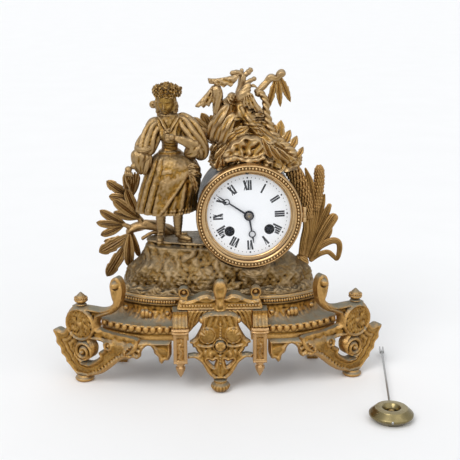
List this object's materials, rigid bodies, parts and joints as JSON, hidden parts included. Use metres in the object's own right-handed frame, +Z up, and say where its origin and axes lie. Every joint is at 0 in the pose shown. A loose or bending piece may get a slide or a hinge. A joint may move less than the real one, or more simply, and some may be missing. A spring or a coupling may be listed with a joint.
{
  "type": "figural mantel clock",
  "caption": "Gilt mantel clock: scrolled base, rock mound with a standing figure and a drum with glazed dial, birds on its crest, pendulum laid beside it.",
  "frame": {"origin": "middle of the front foot's sole, on the table", "axes": "+X to the right seen from the front, +Y to the back, +Z up"},
  "size_m": [0.3562, 0.2037, 0.321],
  "materials": {
    "gilt_casting": "gilt casting, worn in the hollows",
    "grey_casting": "grey zinc",
    "turned_brass": "turned, aged",
    "steel": "drawn",
    "blued_steel": "blued",
    "enamel": "white enamel with black numerals",
    "glass": "clear"
  },
  "bodies": {
    "case": {"plinth": "gilt_casting", "left_scroll_foot": "gilt_casting", "right_scroll_foot": "gilt_casting", "left_finial": "gilt_casting", "right_finial": "gilt_casting", "left_rear_foot": "gilt_casting", "right_rear_foot": "gilt_casting", "left_pilaster": "gilt_casting", "right_pilaster": "gilt_casting", "centre_apron": "gilt_casting", "front_foot": "gilt_casting", "rock_mound": "gilt_casting", "figure_body": "gilt_casting", "figure_head": "gilt_casting", "flower_wreath": "gilt_casting", "crest_rock": "gilt_casting", "crest_vine": "gilt_casting", "diving_bird": "gilt_casting", "perched_bird": "gilt_casting", "left_arm": "gilt_casting", "right_arm": "gilt_casting", "left_leg": "gilt_casting", "right_leg": "gilt_casting", "leaf_branch": "gilt_casting", "reed_spray": "gilt_casting", "drum_case": "grey_casting", "back_ring": "turned_brass", "dial_ring": "turned_brass", "front_plate": "turned_brass", "back_plate": "turned_brass", "plate_pillar_1": "turned_brass", "plate_pillar_2": "turned_brass", "plate_pillar_3": "turned_brass", "plate_pillar_4": "turned_brass", "suspension_cock": "turned_brass", "bell": "turned_brass", "bezel_hinge_pin": "steel", "back_door_pin": "steel", "bell_post": "steel", "dial": "enamel"},
    "bezel": {"bezel": "turned_brass", "bezel_glass": "glass"},
    "back_door": {"back_door": "turned_brass"},
    "minute_train": {"minute_hand": "blued_steel", "cannon_pinion": "steel", "centre_wheel": "turned_brass"},
    "hour_train": {"hour_hand": "blued_steel", "hour_wheel": "turned_brass"},
    "minute_wheel": {"minute_wheel": "turned_brass"},
    "going_barrel": {"going_barrel": "turned_brass"},
    "strike_barrel": {"strike_barrel": "turned_brass"},
    "going_winding_arbor": {"going_winding_arbor": "steel"},
    "strike_winding_arbor": {"strike_winding_arbor": "steel"},
    "escape_wheel": {"escape_wheel": "turned_brass"},
    "crutch": {"anchor_crutch": "steel"},
    "regulator": {"regulator_arbor": "steel"},
    "hammer": {"hammer": "steel"},
    "pendulum": {"pendulum_bob": "turned_brass", "pendulum_rod": "steel"},
    "rating_nut": {"rating_nut": "turned_brass"}
  },
  "joints": [
    {"name": "bezel_hinge", "type": "hinge", "parent": "case", "child": "bezel", "pos_m": [0.0855, 0.031, 0.176], "axis": [0, 0, 1], "range_deg": [0, 100]},
    {"name": "back_door_hinge", "type": "hinge", "parent": "case", "child": "back_door", "pos_m": [0.0785, 0.1033, 0.176], "axis": [0, 0, -1], "range_deg": [0, 110]},
    {"name": "minute_hand_turn", "type": "hinge", "parent": "case", "child": "minute_train", "pos_m": [0.03, 0.03, 0.176], "axis": [0, 1, 0], "continuous": true},
    {"name": "hour_hand_turn", "type": "hinge", "parent": "case", "child": "hour_train", "pos_m": [0.03, 0.03, 0.176], "axis": [0, 1, 0], "continuous": true},
    {"name": "minute_wheel_turn", "type": "hinge", "parent": "case", "child": "minute_wheel", "pos_m": [0.03809, 0.035, 0.18486], "axis": [0, 1, 0], "continuous": true},
    {"name": "going_barrel_turn", "type": "hinge", "parent": "case", "child": "going_barrel", "pos_m": [0.05068, 0.045, 0.16142], "axis": [0, 1, 0], "continuous": true},
    {"name": "strike_barrel_turn", "type": "hinge", "parent": "case", "child": "strike_barrel", "pos_m": [0.01072, 0.045, 0.15961], "axis": [0, 1, 0], "continuous": true},
    {"name": "going_winding_turn", "type": "hinge", "parent": "case", "child": "going_winding_arbor", "pos_m": [0.05068, 0.045, 0.16142], "axis": [0, 1, 0], "continuous": true},
    {"name": "strike_winding_turn", "type": "hinge", "parent": "case", "child": "strike_winding_arbor", "pos_m": [0.01072, 0.045, 0.15961], "axis": [0, 1, 0], "continuous": true},
    {"name": "escape_wheel_turn", "type": "hinge", "parent": "case", "child": "escape_wheel", "pos_m": [0.02909, 0.068, 0.19598], "axis": [0, 1, 0], "continuous": true},
    {"name": "crutch_swing", "type": "hinge", "parent": "case", "child": "crutch", "pos_m": [0.0285, 0.068, 0.20897], "axis": [0, 1, 0], "range_deg": [-4, 4]},
    {"name": "regulator_turn", "type": "hinge", "parent": "case", "child": "regulator", "pos_m": [0.02799, 0.06, 0.22035], "axis": [0, 1, 0], "range_deg": [-180, 180]},
    {"name": "hammer_swing", "type": "hinge", "parent": "case", "child": "hammer", "pos_m": [0.05706, 0.086, 0.1532], "axis": [0, 1, 0], "range_deg": [0, 12], "stiffness_Nm_per_rad": 0.02, "springref_deg": -8.59},
    {"name": "pendulum_lift", "type": "slide", "parent": "case", "child": "pendulum", "axis": [0, 0, 1], "range_m": [0, 0.2]},
    {"name": "rating_nut_turn", "type": "hinge", "parent": "pendulum", "child": "rating_nut", "pos_m": [0.16, -0.0733, 0.0065], "axis": [0.1323, 0.9912, 0], "continuous": true}
  ],
  "couplings": [
    {"joint": "hour_hand_turn", "follows": "minute_hand_turn", "ratio": 0.083333},
    {"joint": "minute_wheel_turn", "follows": "minute_hand_turn", "ratio": -0.33333},
    {"joint": "going_barrel_turn", "follows": "minute_hand_turn", "ratio": 0.02381}
  ]
}
